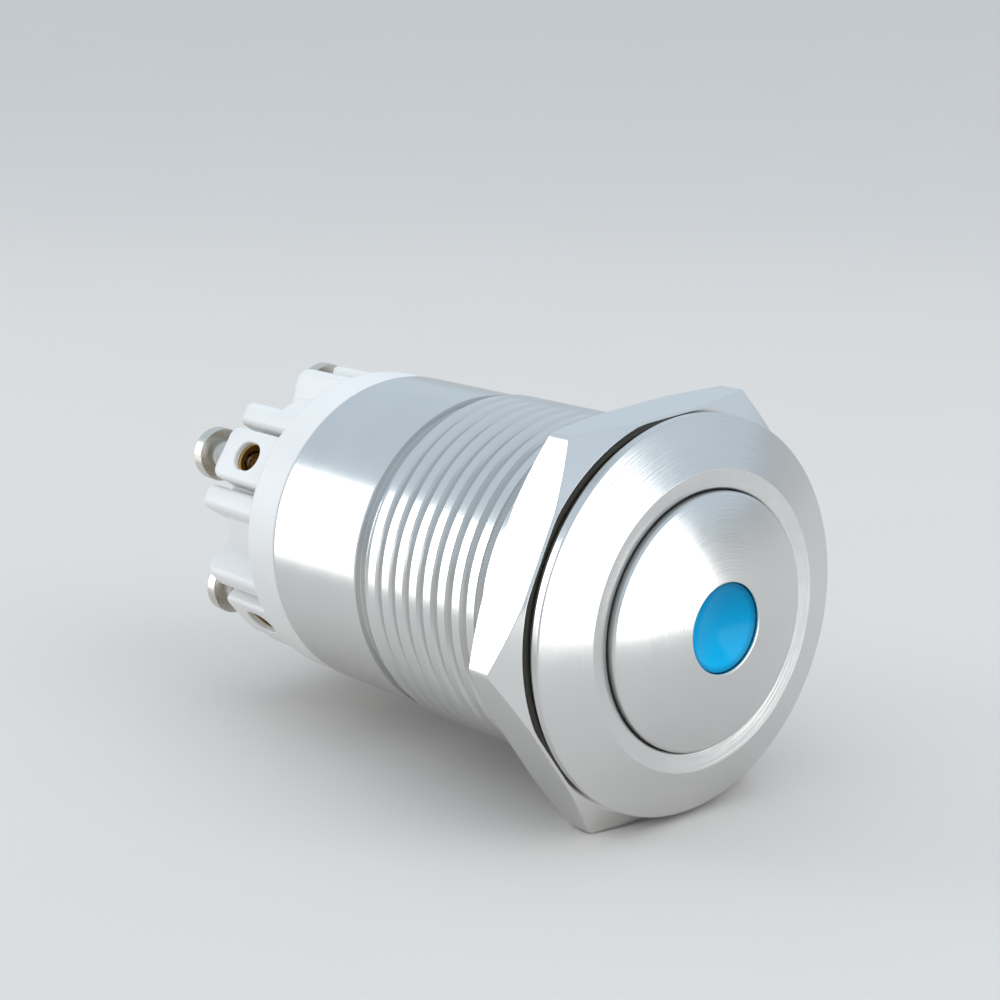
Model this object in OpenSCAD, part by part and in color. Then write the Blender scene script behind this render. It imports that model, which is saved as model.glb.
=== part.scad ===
// Panel push button with a metal head, a lit centre and five screw terminals.
// The axis lies along Y: the head faces -Y and the terminals face +Y.
// The origin is on the axis in the plane where the bezel sits on the panel.

/* [Head] */
// Reach of the bezel beyond the panel thread
bezel_reach = 1; // [0.9:0.1:2]
// Straight height of the bezel's rim
bezel_rim_h = 0.45; // [0.3:0.05:0.9]
// Height of the bezel's front ring above the panel
bezel_h = 1.35; // [1.2:0.05:2.2]
// Width of the flat ring round the button
ring_w = 0.9; // [0.5:0.05:1.6]
// Diameter of the button
button_d = 11.6; // [11:0.1:11.9]
// Straight side of the button that stands above the ring
button_side_h = 0.2; // [0.1:0.05:0.6]
// Rise of the button's dome from its edge to the lens
dome_h = 0.95; // [0.6:0.05:1.6]
// Diameter of the lens in the middle of the button
lens_d = 4.2; // [3.4:0.1:4.8]
// Depth of the dish in the front of the lens
lens_dish = 0.55; // [0.2:0.05:0.7]

/* [Barrel] */
// Outside diameter of the panel thread
thread_d = 16; // [14.4:0.1:18]
// Length of the thread behind the panel face
thread_l = 13.1; // [10:0.1:15]
// Pitch of the panel thread
thread_pitch = 1; // [0.75:0.25:1.5]
// Depth of the panel thread's grooves
thread_depth = 0.4; // [0.3:0.05:0.6]
// Width of the groove where the thread ends
relief_w = 0.4; // [0.2:0.05:0.8]
// Depth of that groove below the thread's crest
relief_depth = 0.45; // [0.2:0.05:0.6]
// Step from the thread's crest down to the plain sleeve
sleeve_step = 0.1; // [0.05:0.05:0.3]
// Length of the barrel behind the panel face
barrel_l = 20.1; // [18:0.1:23]
// Wall of the barrel inside the thread's crest
barrel_wall = 1.15; // [1:0.05:1.25]
// Length of the button's guide behind the panel face
guide_l = 1.3; // [1.2:0.1:2]

/* [Nut and panel seal] */
// Thickness of the nut
nut_h = 2.65; // [2.2:0.05:3.5]
// Turn of the nut about the axis
nut_turn = 4; // [-30:1:30]
// Thickness of the flat seal behind the bezel
panel_seal_h = 0.35; // [0.2:0.05:0.6]
// Space between the seal and the nut as it stands
nut_standoff = 0.05; // [0.03:0.01:2]

/* [Button and contacts] */
// Travel of the button
travel = 1.5; // [1:0.1:2]
// Space between the bore and the shoulder that keeps the button in the barrel
shoulder_gap = 0.35; // [0.25:0.05:0.5]
// Thickness of that shoulder
shoulder_h = 1; // [0.8:0.1:1.5]
// Section diameter of the ring that seals the button
button_seal_d = 0.86; // [0.8:0.02:0.9]
// Length of the plunger's sleeve behind its disc
plunger_l = 4; // [3.5:0.1:4.5]
// Diameter of the plunger's sleeve
plunger_d = 7.2; // [7:0.1:7.3]
// Mean diameter of the return spring
return_coil_d = 11.6; // [11.2:0.1:12]
// Wire diameter of the return spring
return_wire_d = 0.5; // [0.4:0.05:0.6]
// Turns of the return spring
return_turns = 5; // [4:1:7]
// Outside diameter of the moving contact's ring
bridge_d = 9.2; // [9.2:0.1:9.4]
// Thickness of the moving contact's ring
bridge_h = 0.3; // [0.2:0.05:0.4]
// Diameter of a contact tip
contact_tip_d = 0.9; // [0.6:0.05:0.9]

/* [Lamp] */
// Diameter of the lamp's clear body
lamp_d = 2.9; // [2:0.1:3]
// Diameter of the post that carries the lamp
post_d = 4.2; // [4:0.1:4.3]
// Diameter of a lamp wire
lead_d = 0.4; // [0.3:0.05:0.5]

/* [Base and terminals] */
// Step from the thread's crest down to the base's collar
collar_step = 0.15; // [0.1:0.05:0.2]
// Thickness of that collar
collar_h = 2.5; // [2:0.1:3]
// Angle of the first terminal round the axis
terminal_turn = 75; // [0:1:89]
// Distance of a terminal screw from the axis
screw_offset = 6.15; // [6.1:0.05:6.2]
// Width of a terminal tower
tower_w = 2.8; // [2.6:0.05:2.9]
// Height of a terminal tower above the collar
tower_h = 4.2; // [4.1:0.1:4.8]
// Distance of a tower's outer face from the axis
tower_face = 7.5; // [7.45:0.05:7.5]
// Thickness of a barrier fin
fin_t = 1.25; // [0.8:0.05:1.3]
// Space between a tower and the fin beside it
fin_gap = 0.3; // [0.2:0.05:0.35]
// Height of a barrier fin above the collar
fin_h = 5; // [4.4:0.1:5.6]
// Radius of the rounded corner of a fin
fin_corner = 0.9; // [0.4:0.1:1.3]
// Diameter of a wire hole
wire_hole_d = 1.5; // [1.2:0.05:1.6]
// Height of a wire hole's middle above the collar
wire_hole_h = 1.9; // [1.7:0.05:2.1]
// Thread diameter of a terminal screw
screw_d = 1.6; // [1.2:0.05:1.6]
// Diameter of a screw's head
screw_head_d = 2.75; // [2.5:0.05:3]
// Height of a screw's head
screw_head_h = 1.3; // [1:0.05:1.8]
// Space under a screw's head while the terminal is open
screw_open = 1.6; // [0.8:0.05:1.7]

/* [Fits] */
// Radial clearance between pieces that slide or turn
run_gap = 0.05; // [0.03:0.01:0.08]
// Clearance between pieces that sit in each other
seat_gap = 0.02; // [0.01:0.01:0.04]
// Clear space kept between moving pieces that never meet
free_gap = 0.3; // [0.2:0.05:0.4]

/* [Hidden] */
$fn = 96;
// Thread that the inner sizes are given for; they follow when the thread changes
nominal_d = 16;

// Five terminals stand evenly round the axis; three serve the contacts and two the lamp
terminal_count = 5;
terminal_step = 360 / terminal_count;
break_terminal = 1;
resistor_terminal = 2;
common_terminal = 3;
lamp_terminal = 4;
make_terminal = 5;

// Small edges that are broken all over the part
edge_break = 0.12;

// Head, as radii and as depths behind the panel face
inner_scale = thread_d / nominal_d;
thread_r = thread_d / 2;
bezel_r = thread_r + bezel_reach;
button_r = button_d / 2 * inner_scale;
guide_r = button_r + run_gap;
ring_r = guide_r + ring_w;
lens_r = lens_d / 2 * inner_scale;
lens_hole_r = lens_r + seat_gap;
ring_y = -bezel_h;
dome_edge_y = ring_y - button_side_h;
dome_edge_r = button_r - edge_break;
dome_top_y = dome_edge_y - dome_h;
// The dome is part of a ball that passes through the button's edge and the lens's rim
ball_offset = (dome_edge_r * dome_edge_r - lens_hole_r * lens_hole_r - dome_h * dome_h) / (2 * dome_h);
ball_r = norm([dome_edge_r, ball_offset]);
ball_y = dome_edge_y + ball_offset;

// Barrel, and the nut, which is as wide across its flats as the bezel
relief_r = thread_r - relief_depth;
sleeve_r = thread_r - sleeve_step;
barrel_bore_r = thread_r - barrel_wall;
// The thread is drawn as rings that end at the groove, each with a broad crest and a narrow floor
crest_w = thread_pitch / 2;
floor_w = thread_pitch / 10;
flank_w = (thread_pitch - crest_w - floor_w) / 2;
floor_r = thread_r - thread_depth;
thread_rings = floor((thread_l - panel_seal_h) / thread_pitch);
thread_y = thread_l - thread_rings * thread_pitch;
nut_chamfer_angle = 30;
nut_rim = 0.08;
nut_y = panel_seal_h + nut_standoff;
nut_flat_r = bezel_r;
nut_corner_r = nut_flat_r / cos(180 / 6);
nut_chamfer_r = nut_flat_r + nut_rim;
nut_chamfer_h = (nut_corner_r - nut_chamfer_r) * tan(nut_chamfer_angle);

// Button, lens and its seal
lens_seat_depth = 0.35;
lens_flange_w = 0.85;
lens_flange_h = 0.6;
lens_tail_inset = 0.5;
lens_tail_l = 1.4;
shoulder_r = barrel_bore_r - shoulder_gap;
shoulder_y = guide_l + run_gap;
button_back_y = shoulder_y + shoulder_h;
button_seal_r = button_seal_d / 2;
seal_groove_r = button_r - button_seal_d - seat_gap;
seal_groove_w = button_seal_d + 2 * run_gap;
seal_groove_y = -seal_groove_w / 2;
lens_rim_y = dome_top_y + edge_break;
lens_seat_y = ring_y + lens_seat_depth;
lens_flange_r = lens_r + lens_flange_w;
lens_back_y = lens_seat_y + seat_gap + lens_flange_h;
lens_tail_r = lens_r - lens_tail_inset;
lens_tail_y = lens_back_y + lens_tail_l;
dish_r = (lens_r * lens_r + lens_dish * lens_dish) / (2 * lens_dish);

// Plunger and the moving contact
groove_wall = 0.65;
neck_wall = 0.65;
disc_h = 1;
disc_inset = 0.2;
lip_w = 0.3;
lip_h = 0.3;
contact_spring_l = 1.3;
contact_wire_r = 0.17;
contact_turns = 3;
tip_h = 0.25;
tip_inset = 0.05;
cavity_r = seal_groove_r - groove_wall;
cavity_y = lens_back_y;
spigot_r = cavity_r - seat_gap;
spigot_y = cavity_y + seat_gap;
disc_y = button_back_y + seat_gap;
disc_r = shoulder_r - disc_inset;
disc_back_y = disc_y + disc_h;
plunger_r = plunger_d / 2 * inner_scale;
plunger_back_y = disc_back_y + plunger_l;
post_r = post_d / 2 * inner_scale;
post_bore_r = post_r + run_gap;
neck_r = post_bore_r + neck_wall;
contact_coil_r = (neck_r + plunger_r) / 2;
bridge_r = bridge_d / 2 * inner_scale;
bridge_y = plunger_back_y + contact_spring_l;
bridge_back_y = bridge_y + bridge_h;
lip_r = neck_r + lip_w;
lip_y = bridge_back_y + seat_gap;
lip_back_y = lip_y + lip_h;
tip_r = contact_tip_d / 2 * inner_scale;
tip_offset = bridge_r - tip_inset - tip_r;

// Brass strips of the fixed contacts; the make contact meets the ring at the end of the travel
strip_t = 0.33;
strip_w = 1.2;
make_tip_y = bridge_back_y + tip_h + travel + run_gap;
make_plate_y = make_tip_y + tip_h;
plug_y = make_plate_y + strip_t;
break_tip_y = bridge_y - tip_h - run_gap - tip_h;
break_plate_y = break_tip_y - strip_t;
wiper_y = bridge_y - free_gap;
strip_in = bridge_r + run_gap;
strip_out = strip_in + strip_t;

// Wound wire of the springs
return_wire_r = return_wire_d / 2;
return_coil_r = return_coil_d / 2 * inner_scale;
coil_steps = 24;
wire_sides = 8;

// Lamp on its post, with its wires and resistor in the post's bore
lamp_room = 0.75;
lamp_flange_w = 0.3;
lamp_flange_h = 0.5;
lead_bore_r = 1.3 * inner_scale;
lead_offset = 0.9 * inner_scale;
resistor_r = 0.75;
resistor_l = 3.2;
resistor_offset = 0.4 * inner_scale;
resistor_depth = 1.5;
lamp_light_r = lamp_d / 2 * inner_scale;
lamp_hole_r = lamp_light_r + lamp_room;
lamp_flange_r = lamp_light_r + lamp_flange_w;
lamp_tip_y = lens_tail_y + travel + free_gap;
post_y = disc_back_y + travel + free_gap;
lead_r = lead_d / 2;
resistor_y = post_y + resistor_depth;

// Base, seen as depths behind the panel face
hub_r = 6.3 * inner_scale;
hub_h = 4;
tower_in = 3.5 * inner_scale;
tower_corner = 0.6;
fin_in = 4.3 * inner_scale;
fin_margin = 0.05;
root_sink = 0.5;
plug_r = barrel_bore_r - seat_gap;
collar_r = thread_r - collar_step;
collar_y = barrel_l + seat_gap;
collar_back_y = collar_y + collar_h;
hub_back_y = collar_back_y + hub_h;
tower_back_y = collar_back_y + tower_h;
tower_face_r = tower_face * inner_scale;
fin_offset = tower_w / 2 + fin_gap + fin_t / 2;
// The fins end inside the flat of the collar's back
fin_rim_r = collar_r - edge_break - fin_margin;
fin_out = sqrt(pow(fin_rim_r, 2) - pow(fin_offset + fin_t / 2, 2));

// Brass clamp inside each tower
tower_wall = 0.3;
clamp_side = 0.3;
clamp_floor_h = 0.4;
clamp_sink = 0.6;
wire_stop_wall = 0.35;
lead_lift = 0.35;
clamp_w = tower_w - 2 * clamp_side;
clamp_in = strip_out + seat_gap;
clamp_out = tower_face_r - tower_wall;
clamp_y = collar_back_y + clamp_floor_h;
clamp_back_y = tower_back_y - clamp_sink;
wire_hole_r = wire_hole_d / 2;
wire_hole_y = collar_back_y + wire_hole_h;
wire_stop = clamp_in + wire_stop_wall;
lead_y = clamp_y + lead_lift;

// Terminal screw, backed out of the wire hole
slot_w = 0.5;
slot_depth = 0.6;
screw_r = screw_d / 2;
screw_hole_r = screw_r + run_gap;
screw_axis_r = screw_offset * inner_scale;
screw_head_r = screw_head_d / 2;
screw_seat_y = tower_back_y + screw_open;
screw_end_y = wire_hole_y + wire_hole_r + run_gap;
screw_hole_y = screw_end_y - screw_open - run_gap;
head_top_y = screw_seat_y + screw_head_h;
head_side_h = screw_head_h / 2;
head_dome_h = screw_head_h - head_side_h;
head_ball_r = (screw_head_r * screw_head_r + head_dome_h * head_dome_h) / (2 * head_dome_h);

// Stands what is drawn upwards along the part's axis, pointing to the terminals
module along_axis() {
    rotate([-90, 0, 0]) children();
}

// Turns a profile of radius and depth about the axis
module turned() {
    along_axis() rotate_extrude() children();
}

// Sets what is drawn along X out from the axis at an angle
module outward(angle) {
    along_axis() rotate([0, 0, -angle]) children();
}

// Sets what is drawn along X out from the axis at one terminal, counted from 1
module at_terminal(k) {
    outward(terminal_turn + terminal_step * (k - 1)) children();
}

// Cylinder about the axis between two depths
module rod(r, from_y, to_y) {
    along_axis() translate([0, 0, from_y]) cylinder(r = r, h = to_y - from_y);
}

// Block in an outward frame: from one distance and depth to another, centred on its width
module bar(from_x, to_x, w, from_y, to_y) {
    translate([from_x, -w / 2, from_y]) cube([to_x - from_x, w, to_y - from_y]);
}

// Upright outline with both upper corners rounded
module round_top(w, h, r) {
    translate([-w / 2, 0]) square([w, h - r]);
    translate([r - w / 2, 0]) square([w - 2 * r, h]);
    for (side = [-1, 1]) translate([side * (w / 2 - r), h - r]) circle(r);
}

// Upright outline with its outer upper corner rounded
module round_corner(w, h, r) {
    square([w - r, h]);
    square([w, h - r]);
    translate([w - r, h - r]) circle(r);
}

// One point on the skin of a wound wire
function coil_point(mean_r, wire_r, turn, depth, around) =
    let (r = mean_r + wire_r * cos(around))
    [r * cos(turn), depth + wire_r * sin(around), r * sin(turn)];

// Round wire wound about the axis between two depths
module coil(mean_r, wire_r, from_y, to_y, turns) {
    rings = turns * coil_steps;
    pitch = (to_y - from_y - 2 * wire_r) / turns;
    points = [
        for (i = [0:rings])
        for (j = [0:wire_sides - 1])
        coil_point(
            mean_r, wire_r, i * 360 / coil_steps,
            from_y + wire_r + pitch * i / coil_steps, j * 360 / wire_sides
        )
    ];
    walls = [
        for (i = [0:rings - 1])
        for (j = [0:wire_sides - 1])
        let (a = i * wire_sides, b = a + wire_sides, next = (j + 1) % wire_sides)
        [a + j, a + next, b + next, b + j]
    ];
    first_end = [for (j = [0:wire_sides - 1]) wire_sides - 1 - j];
    last_end = [for (j = [0:wire_sides - 1]) rings * wire_sides + j];
    polyhedron(points, concat(walls, [first_end, last_end]));
}

// Turned metal body: bezel, threaded barrel and plain sleeve in one piece
module housing() {
    rings = [
        for (i = [0:thread_rings - 1])
        let (y = thread_y + i * thread_pitch)
        each [
            [thread_r, y],
            [floor_r, y + flank_w],
            [floor_r, y + flank_w + floor_w],
            [thread_r, y + thread_pitch - crest_w]
        ]
    ];
    color("silver")
    turned()
    polygon([
        [guide_r + edge_break, ring_y],
        [ring_r, ring_y],
        [bezel_r, -bezel_rim_h],
        [bezel_r, -edge_break],
        [bezel_r - edge_break, 0],
        [thread_r, 0],
        each rings,
        [thread_r, thread_l],
        [relief_r, thread_l],
        [relief_r, thread_l + relief_w],
        [sleeve_r, thread_l + relief_w],
        [sleeve_r, barrel_l - edge_break],
        [sleeve_r - edge_break, barrel_l],
        [barrel_bore_r, barrel_l],
        [barrel_bore_r, guide_l],
        [guide_r, guide_l],
        [guide_r, ring_y + edge_break]
    ]);
}

// Flat rubber ring between the bezel and the panel
module panel_seal() {
    color("dimgray")
    difference() {
        rod(bezel_r - 2 * edge_break, 0, panel_seal_h);
        rod(thread_r + seat_gap, -panel_seal_h, 2 * panel_seal_h);
    }
}

// Hexagon nut with its corners chamfered on both faces
module mounting_nut() {
    nut_back_y = nut_y + nut_h;
    color("gainsboro")
    difference() {
        intersection() {
            outward(nut_turn) translate([0, 0, nut_y]) cylinder(r = nut_corner_r, h = nut_h, $fn = 6);
            turned()
            polygon([
                [0, nut_y],
                [nut_chamfer_r, nut_y],
                [nut_corner_r, nut_y + nut_chamfer_h],
                [nut_corner_r, nut_back_y - nut_chamfer_h],
                [nut_chamfer_r, nut_back_y],
                [0, nut_back_y]
            ]);
        }
        rod(thread_r + run_gap, nut_y - nut_h, nut_back_y + nut_h);
    }
}

// Domed metal cap with a shoulder, a seal groove and a seat for the lens
module button() {
    color("silver")
    turned()
    difference() {
        union() {
            intersection() {
                translate([0, ball_y]) circle(ball_r);
                translate([0, dome_edge_y - 2 * dome_h]) square([dome_edge_r, 2 * dome_h]);
            }
            polygon([
                [0, dome_edge_y],
                [dome_edge_r, dome_edge_y],
                [button_r, dome_edge_y + edge_break],
                [button_r, shoulder_y],
                [shoulder_r, shoulder_y],
                [shoulder_r, button_back_y],
                [0, button_back_y]
            ]);
        }
        translate([0, dome_edge_y - 2 * dome_h]) square([lens_hole_r, 4 * dome_h]);
        translate([0, lens_seat_y]) square([lens_flange_r + seat_gap, button_back_y - lens_seat_y]);
        translate([0, cavity_y]) square([cavity_r, button_back_y - cavity_y + shoulder_h]);
        translate([seal_groove_r, seal_groove_y]) square([button_r, seal_groove_w]);
    }
}

// Clear coloured lens with a dished front and a tail that leads the light
module lens() {
    color("deepskyblue")
    turned()
    difference() {
        polygon([
            [0, lens_rim_y],
            [lens_r, lens_rim_y],
            [lens_r, lens_seat_y + seat_gap],
            [lens_flange_r, lens_seat_y + seat_gap],
            [lens_flange_r, lens_back_y],
            [lens_tail_r, lens_back_y],
            [lens_tail_r, lens_tail_y],
            [0, lens_tail_y]
        ]);
        translate([0, lens_rim_y + lens_dish - dish_r]) circle(dish_r);
    }
}

// Rubber ring in the button's groove
module button_seal() {
    color("dimgray")
    turned()
    translate([seal_groove_r + seat_gap + button_seal_r, seal_groove_y + seal_groove_w / 2])
    circle(button_seal_r);
}

// Plastic slide behind the button, which runs on the lamp's post and carries the moving contact
module plunger() {
    color("darkslategray")
    turned()
    difference() {
        polygon([
            [0, spigot_y],
            [spigot_r, spigot_y],
            [spigot_r, disc_y],
            [disc_r, disc_y],
            [disc_r, disc_back_y],
            [plunger_r, disc_back_y],
            [plunger_r, plunger_back_y],
            [neck_r, plunger_back_y],
            [neck_r, lip_y],
            [lip_r, lip_y],
            [neck_r, lip_back_y],
            [0, lip_back_y]
        ]);
        translate([0, spigot_y - disc_h]) square([lamp_hole_r, disc_back_y - spigot_y + disc_h]);
        translate([0, spigot_y - disc_h]) square([post_bore_r, lip_back_y - spigot_y + 2 * disc_h]);
    }
}

// Small coil that presses the moving contact against the plunger's lip
module contact_spring() {
    color("lightgray")
    coil(contact_coil_r, contact_wire_r, plunger_back_y, bridge_y, contact_turns);
}

// Round contact tip between two depths, at one terminal's angle
module contact_tip(k, from_y, to_y) {
    at_terminal(k) translate([tip_offset, 0, from_y]) cylinder(r = tip_r, h = to_y - from_y);
}

// Copper ring that leaves the break contact and meets the make contact when the button is pressed
module contact_bridge() {
    color("peru") {
        difference() {
            rod(bridge_r, bridge_y, bridge_back_y);
            rod(neck_r + seat_gap, bridge_y - bridge_h, bridge_back_y + bridge_h);
        }
        contact_tip(break_terminal, bridge_y - tip_h, bridge_back_y);
        contact_tip(make_terminal, bridge_y, bridge_back_y + tip_h);
    }
}

// Coil that pushes the button back out
module return_spring() {
    color("lightgray")
    coil(return_coil_r, return_wire_r, disc_back_y, plug_y, return_turns);
}

// Outer form of one terminal: a tower between two barrier fins, all rooted in the collar
module terminal_form() {
    translate([tower_in, 0, collar_back_y - root_sink])
    rotate([90, 0, 90])
    linear_extrude(tower_face_r - tower_in)
    round_top(tower_w, tower_h + root_sink, tower_corner);
    for (side = [-1, 1])
    translate([fin_in, side * fin_offset, collar_back_y - root_sink])
    rotate([90, 0, 0])
    linear_extrude(fin_t, center = true)
    round_corner(fin_out - fin_in, fin_h + root_sink, fin_corner);
}

// Space in one tower for its clamp and for a wire that enters from outside
module terminal_hollow() {
    pocket_w = clamp_w + 2 * seat_gap;
    bar(clamp_in - seat_gap, clamp_out + seat_gap, pocket_w, clamp_y - seat_gap, tower_back_y + tower_h);
    translate([clamp_in, 0, wire_hole_y]) rotate([0, 90, 0]) cylinder(r = wire_hole_r, h = tower_face_r);
}

// White moulding: plug and lamp post inside the barrel, collar and terminals behind it
module base() {
    lead_slot_w = lead_d + 2 * run_gap;
    strip_slot_w = strip_w + 2 * seat_gap;
    color("whitesmoke")
    difference() {
        union() {
            turned()
            polygon([
                [0, post_y],
                [post_r, post_y],
                [post_r, plug_y],
                [plug_r, plug_y],
                [plug_r, collar_y],
                [collar_r, collar_y],
                [collar_r, collar_back_y - edge_break],
                [collar_r - edge_break, collar_back_y],
                [hub_r, collar_back_y],
                [hub_r, hub_back_y],
                [0, hub_back_y]
            ]);
            for (k = [1:terminal_count]) at_terminal(k) terminal_form();
        }
        rod(lead_bore_r, post_y - lead_bore_r, hub_back_y + hub_h);
        for (k = [1:terminal_count]) at_terminal(k) terminal_hollow();
        for (k = [break_terminal, common_terminal, make_terminal]) at_terminal(k)
            bar(strip_in - seat_gap, clamp_in, strip_slot_w, plug_y - strip_t, tower_back_y + tower_h);
        for (k = [resistor_terminal, lamp_terminal]) at_terminal(k)
            bar(0, clamp_in, lead_slot_w, lead_y - lead_r - run_gap, hub_back_y + hub_h);
    }
}

// Small lamp with a round nose and a foot flange
module lamp() {
    nose_y = lamp_tip_y + lamp_light_r;
    flange_y = post_y - lamp_flange_h;
    color("aliceblue")
    turned()
    union() {
        intersection() {
            translate([0, nose_y]) circle(lamp_light_r);
            translate([0, lamp_tip_y]) square([lamp_light_r, lamp_light_r]);
        }
        translate([0, nose_y]) square([lamp_light_r, flange_y - nose_y]);
        translate([0, flange_y]) square([lamp_flange_r, lamp_flange_h]);
    }
}

// Wire that runs back beside the axis and then out to a clamp
module bent_lead(from_x, from_y) {
    translate([from_x, 0, from_y]) cylinder(r = lead_r, h = lead_y - from_y);
    translate([from_x, 0, lead_y]) sphere(lead_r);
    translate([from_x, 0, lead_y]) rotate([0, 90, 0]) cylinder(r = lead_r, h = clamp_in - from_x);
}

// Short wire from the lamp to its resistor
module lamp_lead_short() {
    color("lightgray")
    at_terminal(resistor_terminal)
    translate([resistor_offset, 0, post_y])
    cylinder(r = lead_r, h = resistor_y - post_y);
}

// Long wire from the lamp to its clamp
module lamp_lead_long() {
    color("lightgray")
    at_terminal(lamp_terminal) bent_lead(lead_offset, post_y);
}

// Series resistor of the lamp, with the wire from its end to the other clamp
module lamp_resistor() {
    color("tan")
    at_terminal(resistor_terminal) {
        translate([resistor_offset, 0, resistor_y]) cylinder(r = resistor_r, h = resistor_l);
        bent_lead(resistor_offset, resistor_y + resistor_l);
    }
}

// Brass strip that runs through the base to the inner face of a clamp
module contact_strip(k, from_y) {
    at_terminal(k) bar(strip_in, strip_out, strip_w, from_y, clamp_back_y);
}

// Plate that reaches inwards from a strip to carry a contact tip
module contact_plate(k, from_y) {
    at_terminal(k) bar(tip_offset - tip_r, strip_out, strip_w, from_y, from_y + strip_t);
}

// Fixed contact that hooks over the ring and touches its front at rest
module contact_break() {
    color("goldenrod") {
        contact_strip(break_terminal, break_plate_y);
        contact_plate(break_terminal, break_plate_y);
        contact_tip(break_terminal, break_plate_y, break_tip_y + tip_h);
    }
}

// Fixed contact that stays beside the ring's rim over the whole travel
module contact_common() {
    color("goldenrod") contact_strip(common_terminal, wiper_y);
}

// Fixed contact that waits behind the ring at the end of the travel
module contact_make() {
    color("goldenrod") {
        contact_strip(make_terminal, make_plate_y);
        contact_plate(make_terminal, make_plate_y);
        contact_tip(make_terminal, make_tip_y, plug_y);
    }
}

// Brass block with a hole for the wire and a threaded hole for the screw
module terminal_clamp(k) {
    color("goldenrod")
    at_terminal(k)
    difference() {
        bar(clamp_in, clamp_out, clamp_w, clamp_y, clamp_back_y);
        translate([wire_stop, 0, wire_hole_y]) rotate([0, 90, 0]) cylinder(r = wire_hole_r, h = clamp_out);
        translate([screw_axis_r, 0, screw_hole_y]) cylinder(r = screw_hole_r, h = tower_h);
    }
}

// Domed screw with a straight slot, backed out so that a wire can enter
module terminal_screw(k) {
    color("lightgray")
    at_terminal(k)
    translate([screw_axis_r, 0, 0])
    difference() {
        union() {
            translate([0, 0, screw_end_y]) cylinder(r = screw_r, h = screw_seat_y - screw_end_y);
            translate([0, 0, screw_seat_y]) cylinder(r = screw_head_r, h = head_side_h);
            rotate_extrude()
            intersection() {
                translate([0, head_top_y - head_ball_r]) circle(head_ball_r);
                translate([0, screw_seat_y + head_side_h / 2]) square([screw_head_r, screw_head_h]);
            }
        }
        translate([-screw_head_r, -slot_w / 2, head_top_y - slot_depth])
        cube([screw_head_d, slot_w, screw_head_h]);
    }
}

housing();
panel_seal();
mounting_nut();
button();
lens();
button_seal();
plunger();
contact_spring();
contact_bridge();
return_spring();
base();
lamp();
lamp_lead_short();
lamp_lead_long();
lamp_resistor();
contact_break();
contact_common();
contact_make();
terminal_clamp(1);  // terminal_clamp_1
terminal_clamp(2);  // terminal_clamp_2
terminal_clamp(3);  // terminal_clamp_3
terminal_clamp(4);  // terminal_clamp_4
terminal_clamp(5);  // terminal_clamp_5
terminal_screw(1);  // terminal_screw_1
terminal_screw(2);  // terminal_screw_2
terminal_screw(3);  // terminal_screw_3
terminal_screw(4);  // terminal_screw_4
terminal_screw(5);  // terminal_screw_5
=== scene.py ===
"""Dresses a panel push button: turned metal body with a panel thread, hexagon nut, domed
button with a blue lens, white base with five screw terminals, wound return spring, and the
stage it lies on."""

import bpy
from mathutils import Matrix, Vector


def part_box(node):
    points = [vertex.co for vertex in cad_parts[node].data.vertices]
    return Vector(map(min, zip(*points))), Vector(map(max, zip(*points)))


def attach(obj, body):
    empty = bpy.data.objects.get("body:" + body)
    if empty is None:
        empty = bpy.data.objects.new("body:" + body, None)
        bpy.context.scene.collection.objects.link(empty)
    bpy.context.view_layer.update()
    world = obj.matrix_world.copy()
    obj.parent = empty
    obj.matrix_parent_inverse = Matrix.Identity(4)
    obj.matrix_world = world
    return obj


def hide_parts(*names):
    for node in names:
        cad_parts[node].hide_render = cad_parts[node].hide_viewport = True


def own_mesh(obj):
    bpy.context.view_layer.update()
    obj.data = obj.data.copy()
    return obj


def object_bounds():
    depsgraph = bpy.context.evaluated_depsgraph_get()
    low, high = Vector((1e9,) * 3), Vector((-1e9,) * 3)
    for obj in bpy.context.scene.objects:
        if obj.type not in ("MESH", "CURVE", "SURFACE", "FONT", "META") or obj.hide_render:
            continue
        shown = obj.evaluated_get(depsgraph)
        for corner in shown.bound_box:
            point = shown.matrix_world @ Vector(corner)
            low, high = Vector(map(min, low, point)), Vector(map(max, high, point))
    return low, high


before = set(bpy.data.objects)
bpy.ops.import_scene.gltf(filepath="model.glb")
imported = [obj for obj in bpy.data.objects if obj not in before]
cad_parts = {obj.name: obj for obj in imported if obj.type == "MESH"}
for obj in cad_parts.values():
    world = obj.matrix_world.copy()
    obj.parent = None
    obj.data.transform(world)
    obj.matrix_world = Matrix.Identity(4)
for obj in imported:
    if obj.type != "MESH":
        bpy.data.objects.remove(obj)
CAD_BOX = [list(corner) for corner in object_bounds()]

import math

import bmesh
import bpy
from mathutils import Euler, Matrix, Quaternion, Vector

bl_info = {
    "name": "Panel push button",
    "version": (1, 0, 0),
    "blender": (4, 5, 0),
    "location": "View3D > Sidebar > Push button",
    "description": "Builds the visible pieces of a metal panel push button round its solid model",
    "category": "Object",
}

MM = 0.001
TURN = 2 * math.pi
MERGE = 1e-7
SHARP = math.radians(32)


def number(name, description, value, **kind):
    """A number that can be set."""
    return bpy.props.FloatProperty(name=name, description=description, default=value, **kind)


def whole(name, description, value):
    """A number of copies or turns."""
    return bpy.props.IntProperty(name=name, description=description, default=value, min=1)


def depth(name, description, size_mm, **limits):
    """A place along the axis, given in millimetres and kept in metres; negative in front of the panel."""
    return number(name, description, size_mm * MM, unit="LENGTH", precision=5, **limits)


def length(name, description, size_mm):
    """A size, given in millimetres and kept in metres."""
    return depth(name, description, size_mm, min=0)


def angle(name, description, degrees):
    """An angle, given in degrees and kept in radians."""
    return number(name, description, math.radians(degrees), subtype="ANGLE")


def power(name, description, watts):
    """Power of a lamp, in watts."""
    return number(name, description, watts, min=0, unit="POWER", precision=4)


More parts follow.
